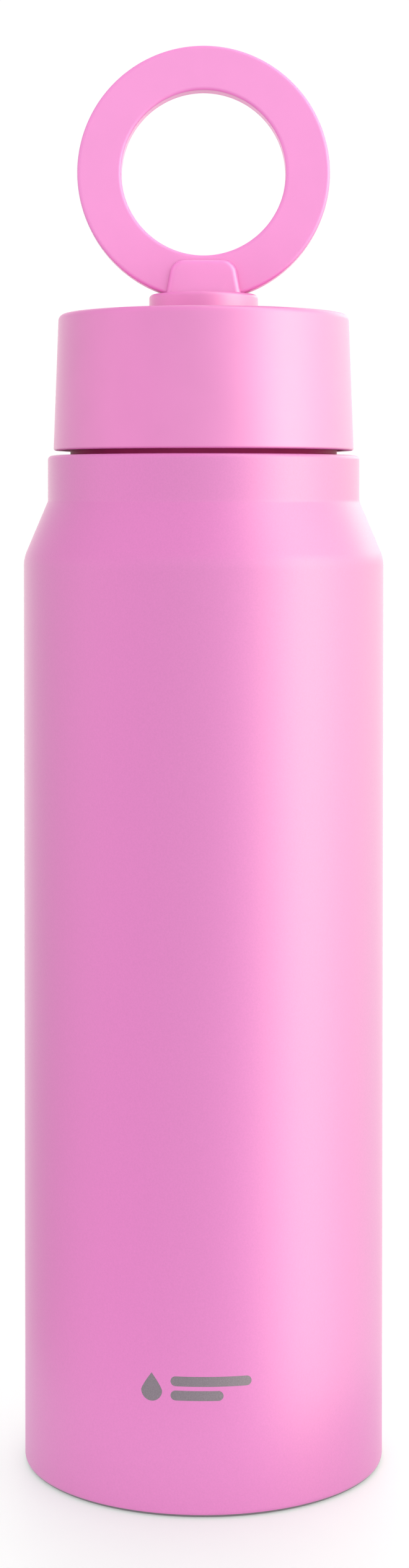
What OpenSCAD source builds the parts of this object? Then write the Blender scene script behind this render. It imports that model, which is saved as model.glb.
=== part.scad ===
// Double-walled bottle with a screw lid. A turret on the lid turns, and carries a magnetic ring that
// tilts to the front. Millimetres. The bottle's axis is Z, it stands on Z = 0, and its front is -Y.

/* [Bottle] */
// Outside diameter of the body
body_d = 80; // [74:1:100]
// Height of the neck's rim above the base
rim_h = 223.8; // [150:0.1:300]
// Height of the straight neck, from the shoulder's upper corner to the rim
neck_h = 10.1; // [6:0.1:20]
// Height of the sloping shoulder, corner to corner
shoulder_h = 12.6; // [8:0.1:24]
// Wall of the outer shell
shell_t = 0.6; // [0.5:0.1:1]
// Wall of the inner liner
liner_t = 0.5; // [0.4:0.1:1]
// Evacuated gap between the shell and the liner
vacuum_gap = 2.4; // [1.5:0.1:4]
// Height of the liner's floor above the base
floor_z = 10; // [9:0.5:16]
// Rounding of the shoulder's lower corner
shoulder_r = 8; // [3:0.5:12]
// Rounding of the shoulder's upper corner
neck_root_r = 2; // [1:0.1:3]
// Rounding of the neck's rim
rim_edge_r = 1; // [0.7:0.1:1.5]
// Rounding of the shell's bottom edge
foot_edge_r = 1.5; // [0.8:0.1:4]
// Width of the ring that the bottle stands on
foot_w = 3.4; // [2.5:0.1:6]
// Depth of the hollow under the base
base_depth = 3; // [2:0.1:4]

/* [Mouth] */
// Bore of the mouth
mouth_d = 60; // [48:0.5:64]
// Neck wall, from the mouth's bore to the outside of the neck
neck_wall = 4.65; // [4:0.05:7]
// Depth of the sealing ledge below the rim
ledge_depth = 19.8; // [17:0.1:30]
// Width of the sealing ledge
ledge_w = 3.2; // [2.4:0.1:5]
// Height of the throat below the ledge
throat_h = 3; // [2:0.5:8]
// Height of the liner's inside shoulder
liner_slope_h = 12; // [8:0.5:20]

/* [Thread] */
// Rise of the lid in one turn
thread_lead = 8; // [6:0.5:10]
// Number of threads
thread_starts = 2; // [1:1:3]
// Turns of each thread
thread_turns = 1; // [0.75:0.05:1.1]
// Height of a thread over its root
thread_depth = 1.3; // [1:0.05:1.6]
// Width of a thread at its root
thread_root_w = 1.6; // [1.2:0.1:2]
// Width of a thread at its crest
thread_crest_w = 0.8; // [0.5:0.1:1]

/* [Lid] */
// Height of the lid's outside
lid_h = 30.15; // [26:0.05:45]
// Gap between the neck's rim and the lid's skirt
lid_gap = 1.1; // [0.6:0.1:3]
// How far the skirt's bottom is set in from the neck's outside
lid_set_in = 1.25; // [0:0.05:1.6]
// How much narrower the lid is at the top than at the bottom, on the radius
lid_draft = 1.15; // [0:0.05:1.3]
// Wall of the lid's skirt
lid_wall = 2; // [1.4:0.1:2.2]
// Thickness of the lid's top
lid_top_t = 2.6; // [2:0.1:4]
// Rounding of the lid's top edge
lid_edge_r = 1.4; // [0.5:0.1:3]

/* [Plug] */
// Wall of the plug
plug_wall = 1.9; // [1.4:0.1:2.6]
// Thickness of the plug's floor
plug_floor_t = 2; // [1.2:0.1:3]
// Height of the gasket
gasket_h = 2.2; // [1.6:0.1:3.5]
// Thickness of the disc that closes the plug
plate_t = 1.6; // [1:0.1:3]
// How far that disc lies below the plug's top edge
plate_depth = 1.7; // [1:0.1:3]
// How far the plug's lip reaches below the ledge
lip_depth = 1.4; // [1:0.1:3]

/* [Mixing grid] */
// Height of the grid's basket
grid_h = 6; // [4:0.5:12]
// Wall and floor of the grid
grid_t = 1.6; // [1:0.1:2.5]
// Diameter of a hole in the grid
grid_hole_d = 4.2; // [2.5:0.1:5]
// Distance from hole to hole
grid_pitch = 6; // [5.5:0.5:8]

/* [Turret] */
// Diameter of the turret
turret_d = 24.2; // [22:0.1:32]
// Height of the turret above the lid
turret_h = 4.45; // [4:0.05:6]
// Rounding of the turret's top edge
turret_edge_r = 0.9; // [0.3:0.1:1]
// Wall of the turret's cover round the hub
turret_wall = 1.15; // [0.8:0.05:1.2]
// Diameter of the hub in the lid's top
hub_d = 16; // [14.5:0.1:18]
// Depth of the turret's seat in the lid
seat_depth = 0.6; // [0.4:0.1:1]
// Thickness of the retainer under the lid's top
retainer_t = 1.6; // [1.2:0.1:2.5]
// Room for the wave washer between the lid's top and the retainer
washer_room = 1.65; // [1.5:0.05:2.5]
// Number of screws that hold the retainer
hub_screws = 3; // [2:1:4]
// Shank diameter of these screws
hub_screw_d = 2.2; // [1.6:0.1:2.5]

/* [Hinge] */
// Diameter of the tilt hinge's pin
pin_d = 1.8; // [1.4:0.1:2]
// Depth of the pin's axis below the turret's top
pin_depth = 2.1; // [2:0.05:2.3]
// Wall of the knuckle round the pin
knuckle_wall = 0.8; // [0.6:0.05:0.85]
// Width of the knuckle
knuckle_w = 7.8; // [5:0.1:8]
// Thickness of a friction washer
washer_t = 0.5; // [0.3:0.1:0.5]

/* [Ring] */
// Outside diameter of the ring
ring_d = 56; // [50:0.5:66]
// Hole of the ring
ring_hole_d = 36.4; // [30:0.1:38]
// Thickness of the ring
ring_t = 6; // [5.4:0.1:8]
// How far the ring's lowest edge is below the turret's top
ring_sink = 1.2; // [0.8:0.1:1.4]
// Rounding of the ring's edges
ring_edge_r = 0.8; // [0.3:0.1:1.2]
// Wall of the ring's housing
ring_wall = 1.4; // [1:0.1:1.8]
// Number of magnets
magnet_count = 16; // [12:1:20]

/* [Tongue] */
// Width of the tongue at its foot
tongue_foot_w = 16.4; // [12:0.1:18]
// Width of the tongue at its top
tongue_top_w = 13.8; // [10:0.1:16]
// Height of the tongue
tongue_h = 7.1; // [6:0.1:8]
// How far the tongue stands out from the ring
tongue_t = 2; // [1.8:0.1:2.4]
// Radius of the tongue's upper corners
tongue_corner_r = 3; // [1:0.5:4]

/* [Clearances] */
// Between pieces that move past each other
gap = 0.3; // [0.2:0.05:0.5]
// Hub in the lid's top, on the radius
hub_fit = 0.08; // [0.04:0.01:0.1]
// Pin in the knuckle, on the radius
pin_fit = 0.05; // [0.02:0.01:0.08]
// Between the turret's top and the tongue when the ring lies over
tilt_gap = 0.5; // [0.4:0.1:0.7]
// Between soft or pressed pieces and what holds them
seat_fit = 0.1; // [0.05:0.05:0.2]
// Thread crests to the wall they face, on the radius
thread_fit = 0.45; // [0.35:0.05:0.6]

/* [Hidden] */
$fn = 96;

coat = "#ee86cf";
steel = "#b9bbbe";
rubber = "#d9d4d6";
foam = "#f4f1e8";

// Bottle
body_r = body_d / 2;
mouth_r = mouth_d / 2;
neck_r = mouth_r + neck_wall;
neck_z = rim_h - neck_h;
shoulder_z = neck_z - shoulder_h;
foot_r = body_r - foot_w;
dish_r = 8;
dish_h = 1.2;
dish_slope = 1;
seal_hole_r = 1;
liner_r = body_r - shell_t - vacuum_gap - liner_t;
ledge_z = rim_h - ledge_depth;
throat_r = mouth_r - ledge_w;
throat_z = ledge_z - throat_h;
belly_z = throat_z - liner_slope_h;
liner_floor_r = 8;
liner_belly_r = 6;
throat_edge_r = 1;
getter_r = 6.2;
getter_h = 1.8;
clip_t = 0.3;

// Thread: the ridges of the mouth point inwards, those of the plug outwards, half a pitch lower
pitch = thread_lead / thread_starts;
thread_rise = thread_lead * thread_turns;
female_crest_r = mouth_r - thread_depth;
plug_r = female_crest_r - thread_fit;
male_crest_r = mouth_r - thread_fit;
thread_steps = 36;
bury = 0.25;

// Plug
collar_fit = 0.4;
collar_r = mouth_r - collar_fit;
lip_fit = 0.5;
lip_step = 0.7;
lip_edge_r = 0.4;
gasket_bottom = ledge_z + seat_fit;
gasket_top = gasket_bottom + gasket_h;
gasket_r = female_crest_r - thread_fit;
lip_r = throat_r - lip_fit;
spigot_r = lip_r - lip_step;
plug_z = ledge_z - lip_depth;
plug_root_z = gasket_top + seat_fit;
female_z = plug_root_z + pitch / 2 + thread_root_w / 2 + seat_fit;
male_z = female_z - pitch / 2;
collar_z = female_z + thread_rise + thread_root_w / 2 + gap;
cavity_r = plug_r - plug_wall;
collar_cavity_r = collar_r - plug_wall - gap;

// Lid
skirt_z = rim_h + lid_gap;
lid_z = skirt_z + lid_h;
lid_r = neck_r - lid_set_in;
lid_top_r = lid_r - lid_draft;
lid_under_z = lid_z - lid_top_t;
lid_rib_t = 1.6;
skirt_edge_r = 0.5;
hub_bottom = lid_under_z - washer_room;
screw_head_h = 1.3;
screw_head_room = 0.95;
plug_top_z = hub_bottom - retainer_t - screw_head_h - screw_head_room;
plate_z = plug_top_z - plate_depth - plate_t;
plate_seat = 0.4;
plate_r = collar_cavity_r + plate_seat;
foam_z = plug_z + plug_floor_t + 2 * seat_fit;

// Mixing grid: it is pressed over a ring under the plug
grid_set_in = 1.1;
grid_r = lip_r - grid_set_in;
grid_seat_r = grid_r - grid_t;
grid_seat_h = 1.7;
grid_rim = 0.8;

// Turret
turret_r = turret_d / 2;
turret_z = lid_z + turret_h;
seat_z = lid_z - seat_depth;
flange_z = seat_z + gap;
hub_r = hub_d / 2;
core_r = turret_r - turret_wall;
o_ring_r = 0.5;
o_ring_z = (seat_z + lid_under_z) / 2;
hub_screw_inset = 3;
hub_screw_at = hub_r - hub_screw_inset;
retainer_rim = 3;
washer_fit = 0.4;
washer_w = 2.4;
washer_wave = 0.55;
washer_wire = 0.3;

// Hinge
// When the ring lies over at 90 degrees, its tongue clears the turret's top
pin_r = pin_d / 2;
pin_front = ring_t / 2 + tongue_t + pin_depth + tilt_gap;
pin_y = -pin_front;
pin_z = turret_z - pin_depth;
knuckle_r = pin_r + knuckle_wall;
cheek_x = knuckle_w / 2 + washer_t + 2 * seat_fit;
pin_end = sqrt(core_r * core_r - (pin_front + pin_r) * (pin_front + pin_r)) - gap;
slot_front = pin_front + knuckle_r + gap;
slot_floor = pin_z - knuckle_r - gap;
hub_screw_l = slot_floor - hub_bottom - gap;

// Ring
ring_r = ring_d / 2;
ring_hole_r = ring_hole_d / 2;
ring_z = turret_z - ring_sink + ring_r;
ring_front = -ring_t / 2;
ring_split = ring_t / 2 - ring_wall;
cavity_front = ring_front + ring_wall;
yoke_t = 0.55;
yoke_room = 1.2;
yoke_front = cavity_front + yoke_room;
ring_mid_r = (ring_r + ring_hole_r) / 2;
magnet_slack = 1.6;
magnet_w = ring_r - ring_hole_r - 2 * ring_wall - magnet_slack;
magnet_gap_deg = 40;
magnet_step = (360 - magnet_gap_deg) / magnet_count;
magnet_part_deg = 1.6;
tongue_z = turret_z + gap + seat_fit;
tongue_front = ring_front - tongue_t;
tongue_skin = 0.6;
arm_overlap = 0.5;
bracket_screw_r = 0.8;
bracket_screw_x = 3.4;
bracket_screw_z = tongue_z + 3.7;
bracket_head_r = 1.5;
bracket_head_h = 0.9;

// Paths: each point is [across, up, radius of its corner]
function unit(v) = v / norm(v);
function xy(p) = [p[0], p[1]];
function turn(a) = a > 180 ? a - 360 : a < -180 ? a + 360 : a;

function arc_corner(a, b, c, r, steps = 5) =
    let (
        u = unit(a - b),
        v = unit(c - b),
        half = acos(u * v) / 2,
        centre = b + unit(u + v) * r / sin(half),
        from = b + u * r / tan(half) - centre,
        to = b + v * r / tan(half) - centre,
        first = atan2(from[1], from[0]),
        sweep = turn(atan2(to[1], to[0]) - first)
    )
    [for (i = [0:steps]) centre + r * [cos(first + sweep * i / steps), sin(first + sweep * i / steps)]];

function rounded(path) =
    let (n = len(path))
    [for (i = [0:n - 1])
        let (p = path[i])
        each (p[2] > 0
            ? arc_corner(xy(path[(i + n - 1) % n]), xy(p), xy(path[(i + 1) % n]), p[2])
            : [xy(p)])
    ];

module lathe(path) {
    rotate_extrude() polygon(rounded(path));
}

// A ring about the ring's own axis: the path's height runs along Y
module ring_lathe(path) {
    translate([0, 0, ring_z]) rotate([-90, 0, 0]) lathe(path);
}

// How far a parallel wall moves along the axis where a wall bends by the angle
function bend_shift(t, angle) = t * tan(angle / 2);

// Helical ridge from the wall to the crest, running out into the wall at both ends
function ridge_taper(i, n) = min(1, 4 * i / n, 4 * (n - i) / n);
function ridge_section(wall_r, crest_r, i, n) =
    let (
        out = sign(crest_r - wall_r),
        root = wall_r - out * bury,
        crest = root + (crest_r - root) * ridge_taper(i, n) + out * bury * 0.4,
        angle = 360 * thread_turns * i / n,
        z = thread_rise * i / n
    )
    [for (p = [
            [root, -thread_root_w / 2], [crest, -thread_crest_w / 2],
            [crest, thread_crest_w / 2], [root, thread_root_w / 2]
        ])
        [p[0] * cos(angle), p[0] * sin(angle), z + p[1]]];

module ridge(wall_r, crest_r, first_z) {
    n = ceil(thread_steps * thread_turns);
    inward = crest_r < wall_r;
    sides = [for (i = [0:n - 1], j = [0:3])
        let (a = 4 * i + j, b = 4 * i + (j + 1) % 4)
        each [[a, b, b + 4], [a, b + 4, a + 4]]];
    ends = [[0, 2, 1], [0, 3, 2], [4 * n, 4 * n + 1, 4 * n + 2], [4 * n, 4 * n + 2, 4 * n + 3]];
    faces = concat(sides, ends);
    flipped = [for (f = faces) [f[0], f[2], f[1]]];
    for (k = [0:thread_starts - 1])
        translate([0, 0, first_z])
            rotate([0, 0, 360 * k / thread_starts])
                polyhedron(
                    points = [for (i = [0:n]) each ridge_section(wall_r, crest_r, i, n)],
                    faces = inward ? flipped : faces
                );
}

// ---- Bottle ----

module outer_shell() {
    slope = atan((body_r - neck_r) / shoulder_h);
    drop = bend_shift(shell_t, slope);
    color(coat) lathe([
        [foot_r, 0, 0],
        [body_r, 0, foot_edge_r],
        [body_r, shoulder_z, shoulder_r],
        [neck_r, neck_z, neck_root_r],
        [neck_r, rim_h, rim_edge_r],
        [mouth_r + liner_t, rim_h, 0],
        [mouth_r + liner_t, rim_h - shell_t, 0],
        [neck_r - shell_t, rim_h - shell_t, max(0, rim_edge_r - shell_t)],
        [neck_r - shell_t, neck_z - drop, neck_root_r + shell_t],
        [body_r - shell_t, shoulder_z - drop, shoulder_r - shell_t],
        [body_r - shell_t, shell_t, foot_edge_r - shell_t],
        [foot_r, shell_t, 0]
    ]);
}

module liner_wall() {
    slope = atan((liner_r - throat_r) / liner_slope_h);
    rise = bend_shift(liner_t, slope);
    lathe([
        [0, floor_z, 0],
        [liner_r, floor_z, liner_floor_r],
        [liner_r, belly_z, liner_belly_r],
        [throat_r, throat_z, throat_edge_r],
        [throat_r, ledge_z, 0],
        [mouth_r, ledge_z, 0],
        [mouth_r, rim_h, 0],
        [mouth_r + liner_t, rim_h, 0],
        [mouth_r + liner_t, ledge_z - liner_t, 0],
        [throat_r + liner_t, ledge_z - liner_t, 0],
        [throat_r + liner_t, throat_z + rise, throat_edge_r],
        [liner_r + liner_t, belly_z + rise, liner_belly_r + liner_t],
        [liner_r + liner_t, floor_z - liner_t, liner_floor_r + liner_t],
        [0, floor_z - liner_t, 0]
    ]);
}

module inner_liner() {
    color(steel) union() {
        liner_wall();
        ridge(mouth_r, female_crest_r, female_z);
    }
}

module base_plate() {
    corner_r = 1.2;
    color(steel) lathe([
        [foot_r, 0, 0],
        [foot_r, base_depth + shell_t, corner_r],
        [dish_r + dish_slope, base_depth + shell_t, 0],
        [dish_r, base_depth + dish_h + shell_t, 0],
        [seal_hole_r, base_depth + dish_h + shell_t, 0],
        [seal_hole_r, base_depth + dish_h, 0],
        [dish_r - shell_t, base_depth + dish_h, 0],
        [dish_r + dish_slope - shell_t, base_depth, 0],
        [foot_r - shell_t, base_depth, corner_r - shell_t],
        [foot_r - shell_t, 0, 0]
    ]);
}

// Pressed disc over the evacuation port, with a raised rim
module base_cover() {
    cover_r = foot_r - shell_t - 3 * gap;
    cover_t = 0.6;
    rim_rise = 0.4;
    rim_w = 2.4;
    rim_slope = 1;
    color(steel) lathe([
        [0, base_depth - cover_t, 0],
        [cover_r - rim_w - rim_slope, base_depth - cover_t, 0],
        [cover_r - rim_w, base_depth - cover_t - rim_rise, 0],
        [cover_r, base_depth - cover_t - rim_rise, 0],
        [cover_r, base_depth, 0],
        [0, base_depth, 0]
    ]);
}

module vacuum_seal_bead() {
    bead_r = 3.2;
    bulge = 0.3;
    color("#3b3f3a") lathe([
        [0, base_depth + bulge, 0],
        [bead_r, base_depth + 2 * bulge, 0],
        [bead_r, base_depth + dish_h, 0],
        [seal_hole_r, base_depth + dish_h, 0],
        [seal_hole_r, base_depth + dish_h + shell_t, 0],
        [0, base_depth + dish_h + shell_t, 0]
    ]);
}

module getter() {
    color("#55585c")
        translate([0, 0, floor_z - liner_t - clip_t - getter_h])
            cylinder(r = getter_r - seat_fit, h = getter_h);
}

module getter_clip() {
    top = floor_z - liner_t;
    bottom = top - clip_t - getter_h - clip_t;
    lip = 1.2;
    flange = 2.4;
    color(steel) lathe([
        [getter_r - lip, bottom, 0],
        [getter_r + clip_t, bottom, 0],
        [getter_r + clip_t, top - clip_t, 0],
        [getter_r + flange, top - clip_t, 0],
        [getter_r + flange, top, 0],
        [0, top, 0],
        [0, top - clip_t, 0],
        [getter_r, top - clip_t, 0],
        [getter_r, bottom + clip_t, 0],
        [getter_r - lip, bottom + clip_t, 0]
    ]);
}

// ---- Lid ----

module lid_gasket() {
    color(rubber) lathe([
        [spigot_r + seat_fit, gasket_bottom, 0],
        [gasket_r, gasket_bottom, 0.4],
        [gasket_r, gasket_top, 0.8],
        [spigot_r + seat_fit, gasket_top, 0.3]
    ]);
}

module lid_shell() {
    color(coat) lathe([
        [lid_r - lid_wall, skirt_z, 0],
        [lid_r, skirt_z, skirt_edge_r],
        [lid_top_r, lid_z, lid_edge_r],
        [turret_r + gap, lid_z, 0.2],
        [turret_r + gap, seat_z, 0],
        [hub_r + hub_fit, seat_z, 0],
        [hub_r + hub_fit, lid_under_z, 0],
        [collar_r - lid_rib_t, lid_under_z, 0],
        [collar_r - lid_rib_t, plug_top_z, 0],
        [collar_r, plug_top_z, 0],
        [collar_r, lid_under_z, 0],
        [lid_top_r - lid_wall, lid_under_z, 0]
    ]);
}

module plug_wall_turned() {
    lathe([
        [0, plug_z, 0],
        [lip_r, plug_z, lip_edge_r],
        [lip_r, ledge_z - seat_fit, 0],
        [spigot_r, ledge_z - seat_fit, 0],
        [spigot_r, plug_root_z, 0],
        [plug_r, plug_root_z, 0.3],
        [plug_r, collar_z, 0],
        [collar_r, collar_z, 0.3],
        [collar_r, plug_top_z, 0],
        [plate_r, plug_top_z, 0],
        [plate_r, plate_z, 0],
        [collar_cavity_r, plate_z, 0],
        [collar_cavity_r, collar_z + plug_wall, 0],
        [cavity_r, collar_z, 0],
        [cavity_r, plug_root_z + plug_wall, 0],
        [spigot_r - plug_wall, plug_root_z, 0],
        [spigot_r - plug_wall, plug_z + plug_floor_t, 0],
        [0, plug_z + plug_floor_t, 0]
    ]);
}

module lid_plug() {
    color("#c2459c") union() {
        plug_wall_turned();
        ridge(plug_r, male_crest_r, male_z);
        translate([0, 0, plug_z - grid_seat_h]) difference() {
            cylinder(r = grid_seat_r, h = grid_seat_h + bury);
            translate([0, 0, -1]) cylinder(r = grid_seat_r - grid_t, h = grid_seat_h + 1);
        }
    }
}

module lid_insulation() {
    slack = 2 * seat_fit;
    color(foam) lathe([
        [0, foam_z, 0],
        [spigot_r - plug_wall - slack, foam_z, 0],
        [spigot_r - plug_wall - slack, plug_root_z + slack, 0],
        [cavity_r - slack, plug_root_z + plug_wall + slack, 0],
        [cavity_r - slack, collar_z + slack, 0],
        [collar_cavity_r - slack, collar_z + plug_wall + slack, 0],
        [collar_cavity_r - slack, plate_z - slack, 0],
        [0, plate_z - slack, 0]
    ]);
}

module plug_plate() {
    color(rubber)
        translate([0, 0, plate_z])
            cylinder(r = plate_r - seat_fit, h = plate_t);
}

module grid_holes() {
    rings = floor((grid_seat_r - grid_hole_d / 2 - grid_rim) / grid_pitch);
    for (i = [-rings:rings], j = [-rings:rings])
        if (abs(i + j) <= rings)
            translate([grid_pitch * (i + j / 2), grid_pitch * j * sqrt(3) / 2, -1])
                cylinder(d = grid_hole_d, h = grid_t + 2, $fn = 24);
}

module mixing_grid() {
    slots = 12;
    slot_w = 2.6;
    slot_h = grid_h - grid_t - grid_seat_h - grid_rim;
    top = plug_z - seat_fit;
    color(rubber) translate([0, 0, top - grid_h]) difference() {
        cylinder(r = grid_r, h = grid_h);
        translate([0, 0, grid_t]) cylinder(r = grid_seat_r, h = grid_h);
        grid_holes();
        for (i = [0:slots - 1])
            rotate([0, 0, 360 * i / slots])
                translate([grid_seat_r - 1, -slot_w / 2, grid_t])
                    cube([grid_t + 2, slot_w, slot_h]);
    }
}

// ---- Turret ----

// Room for the ring's lowest part, open to the back so that a phone lies flat on the ring
module ring_groove() {
    front = ring_front - gap;
    translate([0, front, ring_z]) rotate([-90, 0, 0])
        cylinder(r = ring_r + gap, h = turret_r + 1 - front);
}

// Room for the knuckle, its washers and the arm that joins it to the ring
module hinge_slot() {
    translate([-cheek_x, -slot_front, slot_floor])
        cube([2 * cheek_x, slot_front + ring_front + gap, turret_z - slot_floor + 1]);
}

module pin_shape(r, half) {
    translate([0, pin_y, pin_z]) rotate([0, 90, 0]) cylinder(r = r, h = 2 * half, center = true, $fn = 32);
}

module turret_cover() {
    color(coat) difference() {
        lathe([
            [0, flange_z, 0],
            [turret_r, flange_z, 0.2],
            [turret_r, turret_z, turret_edge_r],
            [0, turret_z, 0]
        ]);
        translate([0, 0, flange_z - 1]) cylinder(r = core_r, h = pin_z - flange_z + 1);
        pin_shape(pin_r, pin_end);
        hinge_slot();
        ring_groove();
    }
}

module swivel_hub() {
    color(coat) difference() {
        lathe([
            [0, hub_bottom, 0],
            [hub_r, hub_bottom, 0],
            [hub_r, o_ring_z - o_ring_r - seat_fit, 0],
            [hub_r - 2 * o_ring_r, o_ring_z - o_ring_r - seat_fit, 0],
            [hub_r - 2 * o_ring_r, o_ring_z + o_ring_r + seat_fit, 0],
            [hub_r, o_ring_z + o_ring_r + seat_fit, 0],
            [hub_r, flange_z, 0],
            [core_r, flange_z, 0],
            [core_r, pin_z, 0],
            [0, pin_z, 0]
        ]);
        pin_shape(pin_r, pin_end);
        hinge_slot();
        hub_screw_places()
            translate([0, 0, hub_bottom - 1])
                cylinder(d = hub_screw_d, h = hub_screw_l + 1, $fn = 24);
    }
}

module hub_screw_places() {
    for (i = [0:hub_screws - 1])
        rotate([0, 0, 90 + 360 * i / hub_screws])
            translate([hub_screw_at, 0, 0])
                children();
}

module swivel_o_ring() {
    color("#2b2b2e")
        translate([0, 0, o_ring_z])
            rotate_extrude()
                translate([hub_r - o_ring_r, 0])
                    circle(r = o_ring_r, $fn = 24);
}

module swivel_wave_washer() {
    inner = hub_r + washer_fit;
    outer = inner + washer_w;
    n = 48;
    middle = (hub_bottom + lid_under_z) / 2;
    points = [for (i = [0:n - 1], p = [
            [inner, -washer_wire / 2], [outer, -washer_wire / 2],
            [outer, washer_wire / 2], [inner, washer_wire / 2]
        ])
        let (angle = 360 * i / n, wave = washer_wave * sin(3 * angle))
        [p[0] * cos(angle), p[0] * sin(angle), middle + wave + p[1]]];
    faces = [for (i = [0:n - 1], j = [0:3])
        let (next = 4 * ((i + 1) % n), a = 4 * i + j, b = 4 * i + (j + 1) % 4)
        each [[a, b, next + (j + 1) % 4], [a, next + (j + 1) % 4, next + j]]];
    color(steel) polyhedron(points = points, faces = faces);
}

module swivel_retainer() {
    color(steel) difference() {
        translate([0, 0, hub_bottom - retainer_t]) cylinder(r = hub_r + retainer_rim, h = retainer_t);
        hub_screw_places()
            translate([0, 0, hub_bottom - retainer_t - 1])
                cylinder(d = hub_screw_d, h = retainer_t + 2, $fn = 24);
    }
}

module swivel_screws() {
    recess_l = 2.4;
    recess_w = 0.4;
    recess_h = 0.7;
    color(steel) hub_screw_places() translate([0, 0, hub_bottom - retainer_t]) difference() {
        union() {
            cylinder(d = hub_screw_d, h = retainer_t + hub_screw_l, $fn = 24);
            translate([0, 0, -screw_head_h]) cylinder(d = 2 * hub_screw_d, h = screw_head_h, $fn = 24);
        }
        for (a = [0, 90])
            rotate([0, 0, a])
                translate([-recess_l / 2, -recess_w / 2, -screw_head_h - 1])
                    cube([recess_l, recess_w, recess_h + 1]);
    }
}

module hinge_pin() {
    color(steel) pin_shape(pin_r, pin_end);
}

module friction_washers() {
    middle = knuckle_w / 2 + seat_fit + washer_t / 2;
    color(steel) for (side = [-1, 1])
        translate([side * middle, pin_y, pin_z]) rotate([0, 90, 0]) difference() {
            cylinder(r = knuckle_r - seat_fit, h = washer_t, center = true, $fn = 32);
            cylinder(r = pin_r + pin_fit, h = washer_t + 1, center = true, $fn = 32);
        }
}

// ---- Ring ----

module ring_housing() {
    color(coat) difference() {
        ring_lathe([
            [ring_hole_r, ring_front, ring_edge_r],
            [ring_r, ring_front, ring_edge_r],
            [ring_r, ring_split, 0],
            [ring_r - ring_wall, ring_split, 0],
            [ring_r - ring_wall, cavity_front, 0],
            [ring_hole_r + ring_wall, cavity_front, 0],
            [ring_hole_r + ring_wall, ring_split, 0],
            [ring_hole_r, ring_split, 0]
        ]);
        bracket_screw_places(ring_front - 1) cylinder(r = bracket_screw_r, h = ring_wall + 2, $fn = 24);
    }
}

module ring_back_plate() {
    color(coat) ring_lathe([
        [ring_hole_r, ring_split, 0],
        [ring_r, ring_split, 0],
        [ring_r, ring_t / 2, ring_edge_r],
        [ring_hole_r, ring_t / 2, ring_edge_r]
    ]);
}

module ring_yoke() {
    color(steel) ring_lathe([
        [ring_mid_r - magnet_w / 2, yoke_front, 0],
        [ring_mid_r + magnet_w / 2, yoke_front, 0],
        [ring_mid_r + magnet_w / 2, yoke_front + yoke_t, 0],
        [ring_mid_r - magnet_w / 2, yoke_front + yoke_t, 0]
    ]);
}

// The magnets leave a gap at the bottom of the ring, over the tongue
module ring_magnets() {
    front = yoke_front + yoke_t;
    color("#8d9096")
        translate([0, 0, ring_z]) rotate([-90, 0, 0])
            for (i = [0:magnet_count - 1])
                rotate([0, 0, 90 + (magnet_gap_deg + magnet_part_deg) / 2 + magnet_step * i])
                    translate([0, 0, front])
                        rotate_extrude(angle = magnet_step - magnet_part_deg)
                            translate([ring_mid_r - magnet_w / 2, 0])
                                square([magnet_w, ring_split - front]);
}

module bracket_screw_places(y) {
    for (side = [-1, 1])
        translate([side * bracket_screw_x, y, bracket_screw_z])
            rotate([-90, 0, 0])
                children();
}

module tongue_plate() {
    outline = [
        [-tongue_foot_w / 2, 0, 0],
        [tongue_foot_w / 2, 0, 0],
        [tongue_top_w / 2, tongue_h, tongue_corner_r],
        [-tongue_top_w / 2, tongue_h, tongue_corner_r]
    ];
    translate([0, ring_front, tongue_z]) rotate([90, 0, 0])
        linear_extrude(tongue_t) polygon(rounded(outline));
}

// Arm from the tongue's foot down to the knuckle
module hinge_arm() {
    outline = [
        [pin_y, pin_z - knuckle_r * 0.9],
        [ring_front, pin_z - knuckle_r * 0.3],
        [ring_front, tongue_z + arm_overlap],
        [tongue_front, tongue_z + arm_overlap],
        [tongue_front, tongue_z],
        [pin_y + pin_depth + gap, pin_z + knuckle_r],
        [pin_y, pin_z + knuckle_r * 0.9]
    ];
    translate([-knuckle_w / 2, 0, 0]) rotate([90, 0, 90]) linear_extrude(knuckle_w) polygon(outline);
}

module tilt_bracket() {
    color(coat) difference() {
        union() {
            tongue_plate();
            difference() {
                hinge_arm();
                ring_space();
            }
            pin_shape(knuckle_r, knuckle_w / 2);
        }
        pin_shape(pin_r + pin_fit, knuckle_w);
        bracket_screw_places(tongue_front + tongue_skin)
            cylinder(r = bracket_screw_r, h = tongue_t, $fn = 24);
    }
}

// The ring's own space, which the arm stays out of
module ring_space() {
    translate([0, 0, ring_z]) rotate([90, 0, 0]) cylinder(r = ring_r, h = ring_t, center = true);
}

module bracket_screws() {
    shank = ring_wall + tongue_t - tongue_skin;
    color(steel) bracket_screw_places(cavity_front - shank) union() {
        cylinder(r = bracket_screw_r, h = shank, $fn = 24);
        translate([0, 0, shank]) cylinder(r = bracket_head_r, h = bracket_head_h, $fn = 24);
    }
}

outer_shell();
inner_liner();
base_plate();
base_cover();
vacuum_seal_bead();
getter();
getter_clip();
lid_gasket();
lid_shell();
lid_plug();
lid_insulation();
plug_plate();
mixing_grid();
turret_cover();
swivel_hub();
swivel_o_ring();
swivel_wave_washer();
swivel_retainer();
swivel_screws();
hinge_pin();
friction_washers();
ring_housing();
ring_back_plate();
ring_yoke();
ring_magnets();
tilt_bracket();
bracket_screws();
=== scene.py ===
"""Looks of the steel bottle with a screw lid and a tilting magnetic ring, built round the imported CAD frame.

Lengths are in millimetres until a mesh is made, and the bottle's axis is Z with its front towards -Y.
"""

import math

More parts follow.
